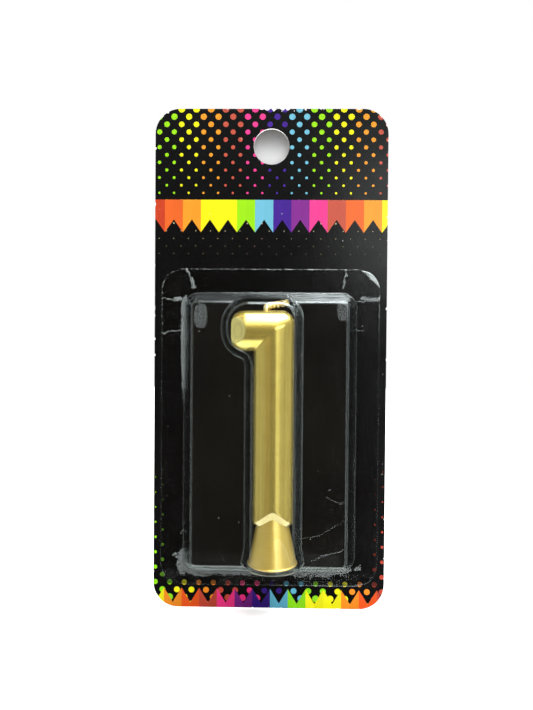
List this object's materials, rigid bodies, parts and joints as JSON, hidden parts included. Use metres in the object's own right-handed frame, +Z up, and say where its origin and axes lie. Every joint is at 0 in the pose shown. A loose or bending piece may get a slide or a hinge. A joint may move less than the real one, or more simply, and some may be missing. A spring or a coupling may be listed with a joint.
{
  "type": "number candle in a blister pack",
  "caption": "Gold numeral-one candle with a bent wick and a conical foot, lying in a clear formed shell that is sealed to a printed hang card with a round peg hole.",
  "frame": {"origin": "centre of the hang hole, halfway through the card's thickness", "axes": "+Z up along the card's height, +X to the right seen from the front, -Y out of the pack's front"},
  "size_m": [0.065, 0.0156, 0.14],
  "materials": {
    "card": "printed black board with a coated front",
    "clear_film": "clear thermoformed film",
    "gold_wax": "wax with a satin gold lacquer",
    "gold_wick": "twisted cotton stiffened with gold lacquer",
    "gold_foot": "moulded foot with a finely turned gold surface"
  },
  "bodies": {
    "pack": {"backing_card": "card", "blister_shell": "clear_film"},
    "candle": {"candle_numeral": "gold_wax", "candle_wick": "gold_wick", "candle_foot": "gold_foot"}
  },
  "joints": [
    {"name": "candle_play", "type": "slide", "parent": "pack", "child": "candle", "axis": [0, 0, 1], "range_m": [0, 0.0006]}
  ]
}
